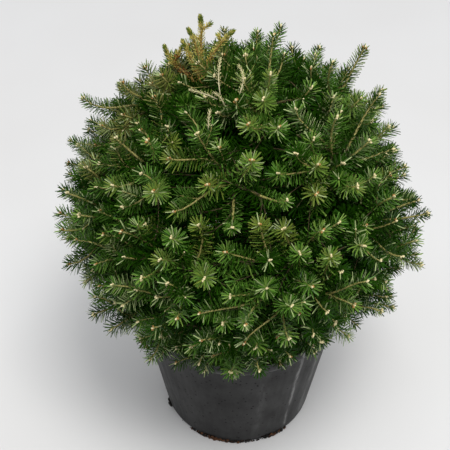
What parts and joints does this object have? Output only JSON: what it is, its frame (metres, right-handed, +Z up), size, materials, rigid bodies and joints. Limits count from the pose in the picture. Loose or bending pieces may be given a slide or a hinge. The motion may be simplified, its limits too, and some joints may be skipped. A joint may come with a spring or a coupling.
{
  "type": "potted korean fir",
  "caption": "Dense globe-shaped dwarf korean fir with short dark green needles, growing in a round black tapered nursery pot filled with peat.",
  "frame": {"origin": "middle of the pot's flat underside, on the surface that the pot stands on", "axes": "+Z up along the pot's axis, -Y towards the side seen as the plant's front, +X to that viewer's right"},
  "size_m": [0.6641, 0.6979, 0.8656],
  "materials": {
    "pot_plastic": "thin black plastic with a dull sheen and faint rubbed streaks",
    "peat": "dark brown moist peat with coarse fibres and crumbs",
    "bark": "grey-brown bark, smooth with small blisters and leaf scars",
    "needles_green": "satin dark green needles, paler beneath",
    "needles_golden": "satin golden olive needles"
  },
  "bodies": {
    "root": {"pot": "pot_plastic", "root_ball": "peat", "trunk": "bark", "bough_low_1": "bark", "bough_low_2": "bark", "bough_low_3": "bark", "bough_low_4": "bark", "bough_low_5": "bark", "bough_low_6": "bark", "bough_low_7": "bark", "bough_low_8": "bark", "bough_mid_1": "bark", "bough_mid_2": "bark", "bough_mid_3": "bark", "bough_mid_4": "bark", "bough_mid_5": "bark", "bough_mid_6": "bark", "bough_mid_7": "bark", "bough_mid_8": "bark", "bough_high_1": "bark", "bough_high_2": "bark", "bough_high_3": "bark", "bough_high_4": "bark", "bough_high_5": "bark", "bough_high_6": "bark", "bough_golden": "bark", "foliage_low_1": "needles_green", "foliage_low_2": "needles_green", "foliage_low_3": "needles_green", "foliage_low_4": "needles_green", "foliage_low_5": "needles_green", "foliage_low_6": "needles_green", "foliage_low_7": "needles_green", "foliage_low_8": "needles_green", "foliage_mid_1": "needles_green", "foliage_mid_2": "needles_green", "foliage_mid_3": "needles_green", "foliage_mid_4": "needles_green", "foliage_mid_5": "needles_green", "foliage_mid_6": "needles_green", "foliage_mid_7": "needles_green", "foliage_mid_8": "needles_green", "foliage_high_1": "needles_green", "foliage_high_2": "needles_green", "foliage_high_3": "needles_green", "foliage_high_4": "needles_green", "foliage_high_5": "needles_green", "foliage_high_6": "needles_green", "foliage_top": "needles_green", "foliage_golden": "needles_golden"}
  },
  "joints": []
}
